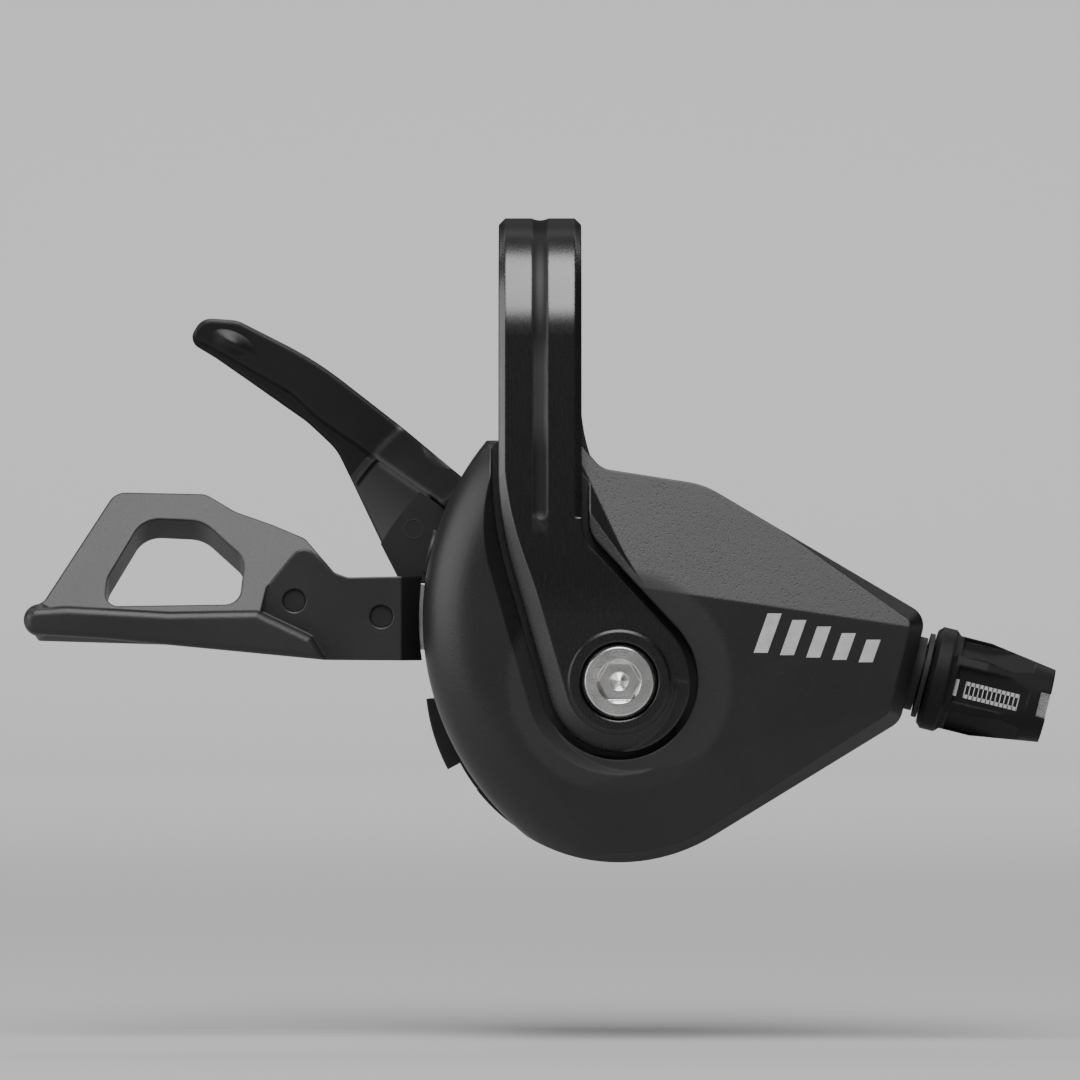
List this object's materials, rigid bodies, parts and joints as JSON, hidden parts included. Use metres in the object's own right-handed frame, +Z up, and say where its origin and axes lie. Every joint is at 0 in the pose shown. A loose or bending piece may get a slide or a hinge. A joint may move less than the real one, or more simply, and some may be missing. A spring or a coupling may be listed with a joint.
{
  "type": "trigger gear shifter",
  "caption": "Right-hand handlebar gear shifter with a band clamp, thumb paddle, release trigger, indexed cable drum and a six-sided cable adjuster.",
  "frame": {"origin": "middle of the handlebar clamp's bore", "axes": "+X along the handlebar towards the cable adjuster, +Y away from the front cover, +Z up"},
  "size_m": [0.111, 0.0347, 0.0692],
  "materials": {
    "anodised_black": "satin black anodised",
    "zinc_steel": "zinc plated",
    "axle_steel": "turned",
    "moulded_cover": "fine matte texture",
    "moulded_housing": "fine matte texture",
    "plate_steel": "stamped",
    "reel_resin": "smooth",
    "spring_steel": "drawn",
    "paddle_resin": "satin",
    "trigger_resin": "satin",
    "knob_resin": "satin",
    "bright_aluminium": "machined"
  },
  "bodies": {
    "shifter_body": {"clamp_band": "anodised_black", "clamp_bolt": "zinc_steel", "main_axle": "axle_steel", "axle_nut": "zinc_steel", "front_cover": "moulded_cover", "rear_housing": "moulded_housing", "front_plate": "plate_steel", "base_plate": "plate_steel", "cover_screw_1": "zinc_steel", "cover_screw_2": "zinc_steel", "pillar_1": "axle_steel", "pillar_2": "axle_steel", "pillar_3": "axle_steel", "holding_pawl_pin": "axle_steel", "reel_spring": "spring_steel", "lever_spring": "spring_steel", "release_spring": "spring_steel", "holding_pawl_spring": "spring_steel", "cable_hole_cap": "moulded_housing", "adjuster_insert": "bright_aluminium", "detent_ring": "spring_steel"},
    "main_lever": {"main_lever_plate": "plate_steel", "main_lever_paddle": "paddle_resin", "main_lever_rivet_1": "axle_steel", "main_lever_rivet_2": "axle_steel", "feed_pawl_pin": "axle_steel", "feed_pawl_spring": "spring_steel"},
    "feed_pawl": {"feed_pawl": "plate_steel"},
    "release_lever": {"release_lever_plate": "plate_steel", "release_trigger": "trigger_resin", "trigger_rivet_1": "axle_steel", "trigger_rivet_2": "axle_steel"},
    "cable_drum": {"cable_reel": "reel_resin", "ratchet_wheel": "plate_steel"},
    "holding_pawl": {"holding_pawl": "plate_steel"},
    "adjuster_knob": {"adjuster_knob": "knob_resin"},
    "adjuster_bolt": {"adjuster_bolt": "bright_aluminium"}
  },
  "joints": [
    {"name": "main_lever_swing", "type": "hinge", "parent": "shifter_body", "child": "main_lever", "pos_m": [0.00845, 0, -0.03595], "axis": [0, -1, 0], "range_deg": [0, 40], "stiffness_Nm_per_rad": 1, "deforming": ["lever_spring"]},
    {"name": "feed_pawl_rock", "type": "hinge", "parent": "main_lever", "child": "feed_pawl", "pos_m": [0.00845, 0, -0.02075], "axis": [0, -1, 0], "range_deg": [0, 12], "stiffness_Nm_per_rad": 0.01, "deforming": ["feed_pawl_spring"]},
    {"name": "release_lever_swing", "type": "hinge", "parent": "shifter_body", "child": "release_lever", "pos_m": [0.00845, 0, -0.03595], "axis": [0, -1, 0], "range_deg": [-10, 10], "stiffness_Nm_per_rad": 1, "deforming": ["release_spring"]},
    {"name": "drum_turn", "type": "hinge", "parent": "shifter_body", "child": "cable_drum", "pos_m": [0.00845, 0, -0.03595], "axis": [0, -1, 0], "range_deg": [0, 220], "deforming": ["reel_spring"]},
    {"name": "holding_pawl_rock", "type": "hinge", "parent": "shifter_body", "child": "holding_pawl", "pos_m": [0.01365, 0, -0.05023], "axis": [0, -1, 0], "range_deg": [0, 12], "stiffness_Nm_per_rad": 0.01, "deforming": ["holding_pawl_spring"]},
    {"name": "adjuster_turn", "type": "hinge", "parent": "shifter_body", "child": "adjuster_knob", "pos_m": [0.04164, -0.0066, -0.03552], "axis": [0.9703, 0, -0.2419], "range_deg": [0, 1800]},
    {"name": "adjuster_travel", "type": "slide", "parent": "adjuster_knob", "child": "adjuster_bolt", "axis": [0.9703, 0, -0.2419], "range_m": [0, 0.005]}
  ],
  "couplings": [
    {"joint": "adjuster_turn", "follows": "adjuster_travel", "rad_per_m": 6283.2}
  ]
}
